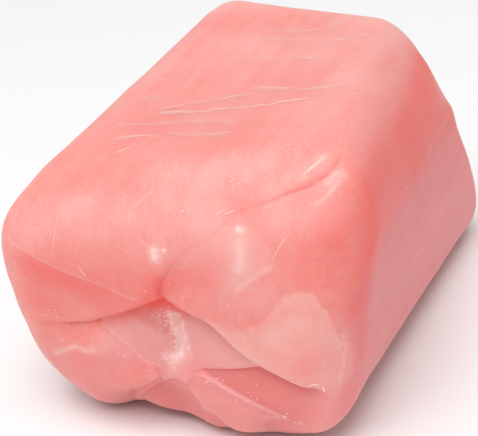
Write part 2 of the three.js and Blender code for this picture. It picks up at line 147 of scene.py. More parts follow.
# Soft colour: (face, line on it, reach, strength). Dabs on an end or a side are on both ends or both sides.
dabs = {
    # painted shade: a deeper red in the creases and valleys, under the edges of the pleats, and along the
    # shaded band of each side
    "paintedShade": [
        ("end", [(-5.5, 8.6), (-4.4, 8), (-2.6, 7.1)], 0.8, 0.4),
        ("end", [(-3.8, 9.3), (-2.5, 8.5), (-1.4, 7.8)], 1.2, 0.25),
        ("end", [(-0.5, 7.2), (-0.1, 7.9)], 0.5, 0.35),
        ("end", [(-0.7, 6.7), (0.1, 6.65), (0.6, 6.45)], 0.34, 0.8),
        ("end", [(-3, 5.7), (-1.9, 6.05), (-0.9, 6.4)], 0.3, 0.25),
        ("end", [(0, 7.6), (0.9, 7.9), (1.9, 8.1)], 0.9, 0.3),
        ("end", [(2.2, 6.4), (3.2, 6.2), (4.2, 6.6)], 0.7, 0.12),
        ("end", [(4.9, 8.6), (5.8, 8.3), (7, 8.2)], 1.3, 0.2),
        ("end", [(6.6, 9.5), (6.9, 10.3)], 0.9, 0.3),
        ("end", [(-5, 5.4), (-4, 5.5), (-3, 5.65), (-1.9, 6), (-0.9, 6.4)], 0.4, 0.2),
        ("end", [(4.6, 11.85), (5.3, 12.3), (5.8, 12.75)], 0.3, 0.15),
        ("side", [(8, 10.9), (6.7, 10.8), (4.3, 10.4), (0, 10.3), (-3, 10.4), (-7.1, 10.6), (-8.2, 10.5)],
         1.15, 0.65),
        ("side", [(6, 8.8), (0, 9), (-7, 9.3), (-8.2, 9.2)], 1.5, 0.65),
        ("side", [(9, 7.2), (3, 7.5), (-4.6, 7.9), (-8, 8)], 1, 0.7),
        ("side", [(-8.4, 8), (-9.1, 7.1), (-9.4, 6.4)], 1.1, 0.6),
        ("top", [(-1.2, -3.7), (-3.5, -7.2)], 1.6, 0.15),
    ],
    "haze": [
        ("end", [(-5.6, 11.4), (-3, 11.5), (-0.6, 11.4), (1.4, 11)], 1, 0.4),
        ("end", [(-1.6, 11.2), (-0.6, 10.5), (-0.3, 9.7)], 1, 0.35),
        ("end", [(2, 9.2), (2.3, 8), (2.4, 7.2)], 0.9, 0.25),
        ("end", [(4, 12.3), (4.8, 12.9), (5.4, 13.7)], 0.6, 0.5),
        ("end", [(2.9, 5.2), (3.8, 4.7), (4.8, 4.2)], 0.6, 0.5),
        ("end", [(0.45, 2.2), (1, 1.6)], 0.6, 0.5),
        ("end", [(-0.6, 5.8), (-0.35, 5.2)], 0.45, 0.35),
        ("end", [(7.5, 5.6), (7.7, 4)], 0.6, 0.5),
        ("end", [(3.9, 9.1), (4.8, 8.9)], 0.8, 0.25),
        ("end", [(-6, 5.9), (-4.6, 6), (-3.4, 6.1)], 0.35, 0.4),
        ("end", [(1.8, 10.6), (3, 9.9), (3.4, 8.9)], 0.9, 0.6),
        ("end", [(3.15, 9.8), (3.2, 9.1), (3.2, 8.5)], 0.3, 0.8),
        ("end", [(3.2, 7.8), (3.8, 7.2), (4.4, 7.4)], 0.8, 0.4),
        ("end", [(4.5, 10.6), (5.6, 10.6), (6.3, 10.9)], 0.9, 0.6),
        ("end", [(-5.4, 10.4), (-3, 9.6)], 1.4, 0.3),
        ("end", [(-3.6, 12), (-3, 12.6)], 0.5, 0.5),
        ("end", [(-4, 6.9), (-2.4, 7)], 0.7, 0.5),
        ("end", [(-2.8, 5), (-2, 5), (-1.2, 5.2), (-0.6, 5.4)], 0.6, 0.4),
        ("end", [(-3.4, 4.5), (-2.6, 4.6), (-2, 4.3)], 0.35, 0.7),
        ("end", [(-6.1, 3.6), (-5, 4.2), (-4.3, 4.5), (-3.9, 4.4), (-3.4, 4.4)], 0.2, 0.5),
        ("end", [(0.6, 5.4), (1.4, 5), (2.4, 4.4)], 0.7, 0.7),
        ("end", [(0.3, 6), (0.5, 5), (0.4, 4.2)], 0.35, 0.8),
        ("end", [(2, 2.6), (3.2, 1.8), (5, 0.8)], 0.6, 0.2),
        ("end", [(6.6, 3.4), (7.2, 1.6)], 1.4, 0.4),
        ("top", [(5.3, 8), (5.2, -1), (4.8, -6.5)], 1.5, 0.35),
        ("top", [(-5, 9.4), (0, 9.6), (4.6, 9.4)], 2, 0.5),
        ("top", [(0, -10), (3.6, -9.3)], 1, 0.5),
        ("top", [(-4.1, 1.7), (-1.4, 3), (1.7, 3.3)], 2.4, 0.3),
        ("side", [(8, 3), (0, 3), (-9, 3)], 3, 0.3),
    ],
    # partly painted shade, dimming the lit ridge of the lower flap and the corner by the foot; partly the
    # chew's own duller tone
    "dull": [
        ("end", [(2, 3.3), (3.2, 2.75), (4.3, 2.15), (5.2, 1.6)], 0.5, 0.9),
        ("end", [(-3.4, 3.8), (-1.8, 4.1), (-0.7, 3.9)], 0.8, 0.5),
        ("end", [(7.6, 5.3), (7.7, 3.9)], 0.6, 0.5),
        ("end", [(6.6, 2.6), (6.2, 1.2)], 1, 0.55),
    ],
    "thin": [     # where the wide patch of wax thins out
        ("end", [(4.8, 3.9), (5.7, 4.1), (6.5, 4.5)], 0.8, 0.7),
    ],
    "frost": [    # whitish wax: the pinch, blobs, smears, and the edges of the pleats
        ("end", [(-0.05, 6.2), (0.02, 5.5), (0.14, 4.95), (0, 4.4)], 0.07, 0.75),
        ("end", [(0.1, 6.1), (0.36, 6), (0.55, 5.3), (0.82, 4.3)], 0.055, 0.6),
        ("end", [(0.15, 5.8), (0.28, 5.3), (0.42, 4.85), (0.42, 4.35)], 0.17, 0.45),
        ("end", [(-0.25, 4.12), (0.1, 4.15), (0.42, 4.3)], 0.19, 0.6),
        ("end", [(0.1, 4.1), (0.03, 3.7)], 0.24, 0.35),
        ("end", [(-0.16, 9.3), (-0.12, 9.05)], 0.24, 0.85),
        ("end", [(0.22, 9.4), (0.24, 9.3)], 0.08, 0.5),
        ("end", [(3.05, 10.15), (3.18, 10.05)], 0.14, 0.95),
        ("end", [(3.15, 9.5), (3.2, 9), (3.15, 8.55)], 0.2, 0.4),
        ("end", [(3.1, 7.7), (3.6, 8.1), (4.3, 8.6)], 0.12, 0.3),
        ("end", [(5.1, 13), (5.5, 13.6)], 0.15, 0.22),
        ("end", [(5.6, 13.8), (5.75, 14.1)], 0.12, 0.5),
        ("end", [(6.15, 12.5), (6.4, 13.1), (6.65, 13.3)], 0.16, 0.4),
        ("end", [(6.8, 13), (6.6, 12.3), (6.2, 11.5), (5.8, 11)], 0.09, 0.35),
        ("end", [(-7.7, 10.85), (-6.7, 10.15), (-5.3, 9.25), (-4.1, 8.55), (-2.5, 7.75), (-1.2, 7.05)],
         0.035, 0.35),
        ("end", [(-6.1, 3.6), (-5.05, 4.2), (-4.3, 4.56), (-3.94, 4.43), (-3.4, 4.43)], 0.07, 0.35),
        ("end", [(-3, 5.6), (-2, 4.75), (-1.3, 4.05), (-0.6, 3.7)], 0.06, 0.22),
        ("end", [(1.4, 3.62), (2.5, 3.08), (3.7, 2.47), (4.9, 1.73), (6, 0.93)], 0.035, 0.2),
        ("end", [(4.1, 6.2), (4.5, 6.7), (4.8, 7.25), (5.4, 7.5), (5.9, 7.4), (6.3, 6.95)], 0.09, 0.18),
        ("end", [(7.9, 5.3), (8.15, 4.4), (8.1, 3.4)], 0.1, 0.25),
        ("side", [(-10.4, 5.3), (-10, 4.8), (-9.9, 4.2), (-10, 3.5)], 0.3, 0.2),
    ],
}
# The edge of the wide patch of wax, which lies right of its line
waxEdge = [(0.4, 6.2), (1.3, 6.2), (2, 6.1), (2.5, 5.9), (3, 5.85), (3.6, 6), (4.1, 6.2), (4.5, 6.7),
           (4.8, 7.25), (5.4, 7.55), (5.9, 7.4), (6.3, 6.95), (6.7, 6.5), (6.95, 6), (7.6, 5.4), (8.1, 4.5),
           (8.2, 3), (8.2, 1.6)]
farFromWax = -2.0     # stands for the reach of points nowhere near it, in mm
# The way an end faces, how hard it was pressed, and how far its lines stray from those above
ends = [(-1, 1.0, 0), (1, 0.6, 0.35)]


def smoothStep(value, low, high):
    t = np.clip((value - low) / (high - low), 0, 1)
    return t * t * (3 - 2 * t)


def blendCorners(places, column):
    out = np.zeros_like(places)
    for corner in block["corners"]:
        weight = np.prod(1 + places * np.array(corner[0]), axis=1) / 8
        out += weight[:, None] * np.array(corner[column], float)
    return out


# Places on the unit cube's skin, as points of the plain rounded block in mm.
def blockPoints(places):
    half = block["size"] / 2
    rounding = blendCorners(places, 2)
    flat = places * half
    core = np.clip(flat, rounding - half, half - rounding)
    turned = (flat - core) / rounding
    turned /= np.maximum(np.linalg.norm(turned, axis=1, keepdims=True), 1e-9)
    points = core + turned * rounding
    points += blendCorners(points / half, 1)
    points[:, 2] += half[2]
    return points


# Where (across, up) lies on the unit cube: past the end's rim it goes on over the face behind.
def endPlaces(pairs, facing):
    pairs = np.array(pairs, float)
    half = block["size"] / 2
    x = -facing * pairs[:, 0] / half[0]
    z = pairs[:, 1] / half[2] - 1
    past = np.abs(pairs - [0, half[2]]) - half[[0, 2]]
    over = np.maximum(past, 0).sum(axis=1)
    y = facing * (1 - over / half[1])
    return np.stack([np.clip(x, -1, 1), y, np.clip(z, -1, 1)], axis=1)


# Curve through the rows of points, as evenly many samples between each two.
def throughPoints(points, steps):
    padded = np.vstack([2 * points[0] - points[1], points, 2 * points[-1] - points[-2]])
    t = np.linspace(0, len(points) - 1, steps)
    i = np.minimum(t.astype(int), len(points) - 2)
    f = (t - i)[:, None]
    a, b, c, d = padded[i], padded[i + 1], padded[i + 2], padded[i + 3]
    curve = 2 * b + (c - a) * f + (2 * a - 5 * b + 4 * c - d) * f ** 2 + (3 * b - 3 * c + d - a) * f ** 3
    return 0.5 * curve


def layLine(points, facing, stray=0):
    points = np.array(points, float)
    for point in points:
        point[0] += stray * noise((point[0] * 0.35, point[1] * 0.35, 3.1))
        point[1] += stray * noise((point[0] * 0.35, point[1] * 0.35, 8.7))
    onBlock = blockPoints(endPlaces(points[:, :2], facing))
    samples = throughPoints(onBlock, relief["lineSteps"])
    widths = np.maximum(throughPoints(points[:, 2:], relief["lineSteps"]), [0.05, 0])
    return samples, widths


def nearestSample(samples, points):
    best = np.full(len(points), np.inf)
    index = np.zeros(len(points), int)
    for k, sample in enumerate(samples):
        distance = ((points - sample) ** 2).sum(axis=1)
        closer = distance < best
        best[closer] = distance[closer]
        index[closer] = k
    return index, np.sqrt(best)


# How far each point lies left of the line, and the line's widths beside it.
def reachOver(line, points, normals):
    samples, widths = line
    index, _ = nearestSample(samples, points)
    best = np.full(len(points), np.inf)
    along = np.zeros(len(points))
    side = np.ones(len(points))
    for step in (-1, 0):
        start = np.clip(index + step, 0, len(samples) - 2)
        stretch = samples[start + 1] - samples[start]
        offset = points - samples[start]
        t = np.clip((offset * stretch).sum(axis=1) / (stretch ** 2).sum(axis=1), 0, 1)
        offset = offset - t[:, None] * stretch
        distance = np.linalg.norm(offset, axis=1)
        closer = distance < best
        best[closer] = distance[closer]
        along[closer] = (start + t)[closer]
        side[closer] = np.where((np.cross(normals, stretch) * offset).sum(axis=1) < 0, -1, 1)[closer]
    steps = np.arange(len(samples))
    besides = [np.interp(along, steps, widths[:, k]) for k in range(widths.shape[1])]
    return [side * best] + besides


# A narrow edge is rolled round, a wide one eases off like a cushion's.
def pleatHeight(reach, roll, drop):
    left = np.clip(1 - reach / roll, 0, 1)
    blunt = 1.8 - 0.65 * smoothStep(roll, 0.5, 1.8)
    rolled = -drop * (1 - (1 - left ** blunt) ** (1 / blunt))
    eased = -drop * left ** 2
    wide = smoothStep(roll, 0.5, 1.8)
    return np.where(reach > 0, rolled + wide * (eased - rolled), -drop + relief["edgeFall"] * reach)


# What is pressed into an end, how deep each point lies in the wax patch, and where the tucked layers show,
# for the shade painted on them.
def endHeights(places, points, normals, facing, strength, stray):
    r = relief
    inFromEnd = block["size"][1] / 2 - facing * points[:, 1]
    fade = 1 - smoothStep(inFromEnd, *r["fade"])
    near = fade > 0
    p, n = points[near], normals[near]
    across = -facing * places[near][:, 0] * block["size"][0] / 2
    reach = {name: reachOver(layLine(line, facing, stray), p, n) for name, line in pleats.items()}

    def swells(name):
        total = np.zeros(len(p))
        for at, wide, rise in r[name]:
            centre = blockPoints(endPlaces([at], facing))[0]
            total += rise * np.exp(-((p - centre) ** 2).sum(axis=1) / wide ** 2)
        return total

    layer = {name: pleatHeight(*reach[name]) for name in pleats}
    for name in ("flap", "lobe", "left", "lower"):
        layer[name] += swells(name + "Swells")
    slope = np.minimum(r["tuckStart"] + r["tuckSlope"] * np.maximum(-reach["flap"][0], 0), r["tuckDeepest"])
    layer["tuck"] -= slope * (1 - smoothStep(-across, r["tuckFullFrom"], r["tuckEndsAt"]))
    layer["tuck"] -= r["tuckPastSlope"] * np.maximum(across - r["tuckStops"], 0)
    closing = 1 - smoothStep(across, *r["pitCloses"])
    sunk = np.minimum(r["floorStart"] + r["floorSlope"] * np.maximum(reach["floor"][0], 0), r["floorDeepest"])
    layer["floor"] += swells("floorSwells") - sunk * closing
    layer["strip"] -= r["stripStart"] + r["stripSlope"] * np.maximum(reach["strip"][0] - r["stripWide"], 0)
    below = np.minimum(r["pitStart"] + r["pitSlope"] * np.maximum(-reach["lower"][0], 0), r["pitDeepest"])
    layer["pit"] = (swells("pitSwells") - below) * closing

    order = ["flap", "lobe", "left", "lower", "tuck", "floor", "strip", "pit"]
    layers = np.array([layer[name] for name in order])
    lying = np.array(order)[layers.argmax(axis=0)]
    rim = 1 - smoothStep(-across, *r["rimCloses"])
    heights = np.zeros(len(points))
    heights[near] = strength * rim * fade[near] * layers.max(axis=0)
    tucked = np.zeros((3, len(points)))
    for row, names in zip(tucked, (["tuck"], ["floor"], ["strip", "pit"])):
        row[near] = np.isin(lying, names) * rim * fade[near]
    tucked[2, near] *= closing
    waxReach = np.full(len(points), farFromWax)
    patchLine = layLine([(a, u, 0, 0) for a, u in waxEdge], facing, stray)
    waxReach[near] = np.minimum(-reachOver(patchLine, p, n)[0], reach["lobe"][0])
    return heights, waxReach, tucked


# The same for every face: facing -1 is the end or side that shows, 1 the one behind.
def facePlaces(face, pairs, facing):
    if face == "end":
        return endPlaces(pairs, facing)
    pairs = np.array(pairs, float)
    half = block["size"] / 2
    ones = np.ones(len(pairs))
    if face == "side":
        along, up = -facing * pairs[:, 0] / half[1], pairs[:, 1] / half[2] - 1
        return np.stack([-facing * ones, along, up], axis=1)
    return np.stack([pairs[:, 0] / half[0], pairs[:, 1] / half[1], ones], axis=1)


# Which ways a face lies, and how strong its colours are there.
def shownFaces(face):
    return {-1: 1} if face == "top" else {-1: 1, 1: 0.6}


# How much of the soft colour lies on each point, 0 to 1. It is weaker on the faces that the photo hides.
def softColour(points, name):
    bare = np.ones(len(points))
    for face, line, wide, strength in dabs[name]:
        for facing, share in shownFaces(face).items():
            onBlock = blockPoints(facePlaces(face, line, facing))
            samples = throughPoints(onBlock, 48 if wide > 0.3 else 200)
            _, distance = nearestSample(samples, points)
            bare *= 1 - share * strength * np.exp(-(distance / wide) ** 2)
    return 1 - bare


# How far a point lies above the seam of its side.
def seamReach(points, normals):
    above = np.full(len(points), 3.0)
    for facing in (-1, 1):
        samples = throughPoints(blockPoints(facePlaces("side", seam["line"], facing)), seam["samples"])
        near = points[:, 0] * -facing > 3
        reach = reachOver((samples, np.zeros((len(samples), 1))), points[near], normals[near])[0]
        above[near] = -reach
    return above


# Rays that look at the sky: rings of them (tilt from upright, how many), how far off the skin they start and
# how far they look, and how near an end a point has to be.
skyRays = {"rings": [(0.3, 6), (0.75, 10), (1.15, 12)], "lift": 0.02, "far": 2.2, "from": 7}


# How much of the sky over each picked point is free of the chew itself, 0 to 1.
def openSky(bm, picked):
    tree = BVHTree.FromBMesh(bm)
    bm.verts.ensure_lookup_table()
    far = skyRays["far"]
    sky = np.ones(len(picked))
    for i in np.flatnonzero(picked):
        normal = bm.verts[i].normal
        start = bm.verts[i].co + normal * skyRays["lift"]
        across = normal.cross((0, 0, 1) if abs(normal.z) < 0.9 else (0, 1, 0)).normalized()
        along = normal.cross(across)
        hit = 0
        total = 0
        for tilt, count in skyRays["rings"]:
            for k in range(count):
                turn = math.tau * (k + 0.5 * tilt) / count
                level = math.cos(turn) * across + math.sin(turn) * along
                distance = tree.ray_cast(start, math.cos(tilt) * normal + math.sin(tilt) * level, far)[3]
                hit += math.cos(tilt) * (1 - distance / far if distance is not None else 0)
                total += math.cos(tilt)
        sky[i] = 1 - hit / total
    return sky


def readCoords(bm):
    return np.array([v.co for v in bm.verts], float)


# Every face that wanted(middle points) picks is cut in four.
def cutFine(bm, wanted):
    middles = np.array([f.calc_center_median() for f in bm.faces])
    edges = {e for f, yes in zip(bm.faces, wanted(middles)) if yes for e in f.edges}
    bmesh.ops.subdivide_edges(bm, edges=[e for e in bm.edges if e in edges], cuts=1, use_grid_fill=True)


# The unit cube's skin out of six grids, cut finer round the pleats.
def startSkin():
    bm = bmesh.new()
    rows = block["rows"]
    for axis in range(3):
        u, v = [a for a in range(3) if a != axis]
        for side in (-1, 1):
            turn = Matrix(((0, 0, 0, 0), (0, 0, 0, 0), (0, 0, 0, 0), (0, 0, 0, 1)))
            turn[u][0] = 1
            turn[v][1] = 1
            turn[axis][3] = side
            bmesh.ops.create_grid(bm, x_segments=rows[u], y_segments=rows[v], size=1, matrix=turn)
    bmesh.ops.remove_doubles(bm, verts=bm.verts, dist=1e-5)
    bmesh.ops.recalc_face_normals(bm, faces=bm.faces)

    def nearPleats(facing, within):
        lines = [layLine(line, facing)[0] for line in pleats.values()]

        def wanted(middles):
            picked = middles[:, 1] * facing > fine["pastRim"]
            points = blockPoints(middles[picked])
            close = np.min([nearestSample(line, points)[1] for line in lines], axis=0) < within
            picked[picked] = close
            return picked
        return wanted

    def onShownEnd(middles):
        return middles[:, 1] < fine["shownEnd"]

    cutFine(bm, onShownEnd)
    cutFine(bm, nearPleats(-1, fine["nearShown"]))
    cutFine(bm, lambda middles: nearPleats(-1, fine["overRim"])(middles) & ~onShownEnd(middles))
    cutFine(bm, nearPleats(1, fine["nearBehind"]))
    cutFine(bm, nearPleats(-1, fine["atEdges"]))
    idle = [v for v in bm.verts if len(v.link_edges) == 2]     # left halfway along an edge by a cut beside it
    bmesh.ops.dissolve_verts(bm, verts=idle)
    return bm


# Each value moves half way to the mean of its neighbours.
def neighbourMeans(bm, values, rounds):
    starts = np.array([e.verts[0].index for e in bm.edges])
    stops = np.array([e.verts[1].index for e in bm.edges])
    count = np.bincount(starts, minlength=len(values)) + np.bincount(stops, minlength=len(values))
    for _ in range(rounds):
        total = np.bincount(starts, values[stops], len(values))
        total += np.bincount(stops, values[starts], len(values))
        values = 0.5 * values + 0.5 * total / count
    return values


# The whole relief over the plain block, and the masks and shades that the material reads.
def pressSkin(bm, places, points, normals):
    heights = np.zeros(len(points))
    waxReach = np.full(len(points), farFromWax)
    tucked = np.zeros((3, len(points)))
    for end in ends:
        pressed, waxed, masks = endHeights(places, points, normals, *end)
        heights += pressed
        tucked += masks
        waxReach = np.maximum(waxReach, waxed)
    print("pleats laid")
    above = seamReach(points, normals)
    sideways = smoothStep(np.abs(normals[:, 0]), 0.5, 0.9)
    # Below the seam the skin is pressed in here; the material also gives it a painted sheen.
    rubbedAndSheen = sideways * (1 - smoothStep(above, -seam["edge"], seam["edge"]))
    heights -= seam["step"] * rubbedAndSheen * smoothStep(above, *seam["stepCloses"])
    for face, at, wide, rise in bumps:
        centre = blockPoints(facePlaces(face, [at], -1))[0]
        heights += rise * np.exp(-((points - centre) ** 2).sum(axis=1) / wide ** 2)
    for high, closeness in block["waves"]:
        heights += high * np.array([noise(Vector(p) * closeness) for p in points])
    heights = neighbourMeans(bm, heights, 3)

    shades = {name: softColour(points, name) for name in dabs}
    shades["waxReach"] = waxReach
    full = 0.5 + 0.5 * smoothStep(-above, *seam["fullBelow"])
    shades["rubbedAndSheen"] = rubbedAndSheen * full * (1 - 0.35 * smoothStep(-above, *seam["faintBelow"]))
    for name, mask in zip(("tuck", "floor", "pit"), tucked):
        shades[name] = neighbourMeans(bm, mask, 1)
    return heights, shades


def writeCoords(bm, points):
    for v, p in zip(bm.verts, points):
        v.co = p
    bm.normal_update()


fit = {}      # what brings the finished skin into the CAD box
skin = {}     # the finished skin, for the bits that lie on it


def makeChew():
    bm = startSkin()
    print("skin cut:", len(bm.verts), "points")
    places = readCoords(bm)
    points = blockPoints(places)
    writeCoords(bm, points)
    bm.verts.index_update()
    normals = np.array([v.normal for v in bm.verts], float)
    heights, shades = pressSkin(bm, places, points, normals)
    under = points[:, 2] < 1e-4
    heights[under] = np.minimum(heights[under], 0)
    moved = points + normals * heights[:, None]
    moved[:, 2] = np.maximum(moved[:, 2], 0)
    writeCoords(bm, moved)
    shades["sky"] = neighbourMeans(bm, openSky(bm, np.abs(points[:, 1]) > skyRays["from"]), 2)
    print("sky measured", shades["sky"].min())

    low, high = moved.min(axis=0), moved.max(axis=0)
    room = (np.array(cadHigh) - np.array(cadLow)) / mm - block["inside"]
    fit["middle"] = np.append((low[:2] + high[:2]) / 2, 0)
    fit["scale"] = np.minimum(room / (high - low), 1)
    for v, p in zip(bm.verts, toModel(moved)):
        v.co = p
    mesh = bpy.data.meshes.new("chewSkin")
    bm.to_mesh(mesh)
    mesh.shade_smooth()
    for name, values in shades.items():
        mesh.attributes.new(name, "FLOAT", "POINT").data.foreach_set("value", values.astype(np.float32))
    piece = bpy.data.objects.new("chewSkin", mesh)
    bpy.context.scene.collection.objects.link(piece)
    skin["faces"] = [[v.index for v in f.verts] for f in bm.faces]
    skin["plain"] = [Vector(p) for p in points]
    skin["moved"] = moved
    skin["normals"] = np.array([v.normal for v in bm.verts], float)
    skin["tree"] = BVHTree.FromPolygons(skin["plain"], skin["faces"])
    bm.free()
    print("chew:", len(mesh.polygons), "faces", (high - low).round(3))
    return piece


# From the block's own place, in mm, to the model's.
def toModel(points):
    return (points - fit["middle"]) * fit["scale"] * mm


# A node with its settings, and with each value set on its input or linked to it.
def put(tree, kind, values=(), **settings):
    node = tree.nodes.new(kind)
    for name, setting in settings.items():
        setattr(node, name, setting)
    for socket, value in dict(values).items():
        if isinstance(value, bpy.types.NodeSocket):
            tree.links.new(value, node.inputs[socket])
        else:
            node.inputs[socket].default_value = value
    return node


def sums(tree, operation, a, b, c=None):
    values = {0: a, 1: b}
    if c is not None:
        values[2] = c
    return put(tree, "ShaderNodeMath", values, operation=operation).outputs[0]


def blend(tree, factor, a, b):
    node = put(tree, "ShaderNodeMix", {0: factor, 6: a, 7: b}, data_type="RGBA")
    return node.outputs[2]


def ease(tree, value, low, high, out=(0, 1)):
    node = put(tree, "ShaderNodeMapRange", {0: value, 1: low, 2: high, 3: out[0], 4: out[1]},
               interpolation_type="SMOOTHSTEP")
    return node.outputs[0]


def noiseOf(tree, coords, scale, detail=3, roughness=0.5):
    settings = {"Vector": coords, "Scale": scale, "Detail": detail, "Roughness": roughness}
    return put(tree, "ShaderNodeTexNoise", settings).outputs[0]


# A value swayed up and down by a noise.
def sway(tree, value, noisy, amount):
    return sums(tree, "MULTIPLY_ADD", sums(tree, "SUBTRACT", noisy, 0.5), amount, value)


def millimetres(tree, stretch=(1, 1, 1)):
    place = put(tree, "ShaderNodeTexCoord").outputs["Object"]
    return put(tree, "ShaderNodeMapping", {"Vector": place, "Scale": [1000 * s for s in stretch]}).outputs[0]


def attribute(tree, name):
    return put(tree, "ShaderNodeAttribute", attribute_name=name).outputs["Fac"]


def newMaterial(name):
    material = bpy.data.materials.new(name)
    material.use_nodes = True
    return material, material.node_tree, material.node_tree.nodes["Principled BSDF"]


wax = {"dark": (0.87, 0.42, 0.38, 1), "light": (0.88, 0.5, 0.45, 1), "clouds": 0.9, "grain": 7}


# Pale sugar wax: its colour and its fine grain.
def waxGroup():
    group = bpy.data.node_groups.new("paleWax", "ShaderNodeTree")
    group.interface.new_socket("Colour", in_out="OUTPUT", socket_type="NodeSocketColor")
    group.interface.new_socket("Grain", in_out="OUTPUT", socket_type="NodeSocketFloat")
    coords = millimetres(group)
    clouds = noiseOf(group, coords, wax["clouds"], 4, 0.6)
    grain = noiseOf(group, coords, wax["grain"], 3, 0.6)
    colour = blend(group, ease(group, clouds, 0.3, 0.7), wax["dark"], wax["light"])
    outlet = put(group, "NodeGroupOutput", {"Colour": colour, "Grain": grain})
    outlet.is_active_output = True
    return group


candy = {
    # the deepest red is painted shade
    "coral": (0.855, 0.276, 0.246, 1), "pale": (0.865, 0.452, 0.42, 1), "deep": (0.88, 0.135, 0.115, 1),
    "sheenMauve": (0.79, 0.215, 0.23, 1), "rose": (0.74, 0.283, 0.29, 1), "frost": (0.97, 0.72, 0.67, 1),
    # painted shade: the layers tucked under others turn a duller red
    "tucked": [("tuck", (0.86, 0.225, 0.2, 1), 0.5), ("floor", (0.81, 0.37, 0.36, 1), 0.6),
               ("pit", (0.77, 0.23, 0.215, 1), 0.7)],
    # how much each pattern sways the paleness
    "mottled": 0.9, "streaked": 0.8, "grained": 0.25, "sugared": 0.8, "wispy": 0.45, "paler": 0.1,
    # painted shade: a duller rose towards the foot, where less light reaches
    "footShadeUpTo": (0.5, 5.5), "footShadeShare": 0.5,     # the chew turns rose towards its foot
    "shaded": 0.68,            # how deep its colour turns where it shades itself
    "scatter": 0.002, "stray": (1, 0.3, 0.25),       # how far light strays inside, in metres, by colour
    "strayShare": 0.88, "frostStops": 0.7,           # how much of it does, and how much less under frost
    "specular": 0.18, "sheen": 0.04, "sheenRough": 0.4,
    "bumpHigh": 0.00004,       # in metres
}
# The wide patch of wax on an end: how ragged its edge is, how it thins, and where it fades in on its left
patch = {"ragged": 0.5, "edge": (-0.04, 0.1), "cover": (0.4, 0.85), "thinBelow": (2, 5.5),
         "fadeIn": (3.6, 4.8), "fadeWide": 0.2}


def patchMask(tree, coords):
    ragged = sway(tree, attribute(tree, "waxReach"), noiseOf(tree, coords, 1.6, 4, 0.6), patch["ragged"])
    across, _, up = put(tree, "ShaderNodeSeparateXYZ", {0: coords}).outputs
    soft = ease(tree, sums(tree, "ABSOLUTE", across, 0), *patch["fadeIn"], (patch["fadeWide"], 0))
    low = sums(tree, "SUBTRACT", patch["edge"][0], soft)
    high = sums(tree, "ADD", patch["edge"][1], soft)
    mask = put(tree, "ShaderNodeMapRange", {0: ragged, 1: low, 2: high},
               interpolation_type="SMOOTHSTEP").outputs[0]
    cloudy = ease(tree, noiseOf(tree, coords, 0.6, 4, 0.65), 0.3, 0.65, patch["cover"])
    thinned = sums(tree, "SUBTRACT", 1, attribute(tree, "thin"))
    for share in (cloudy, ease(tree, up, *patch["thinBelow"], (0.3, 1)), thinned):
        mask = sums(tree, "MULTIPLY", mask, share)
    return mask


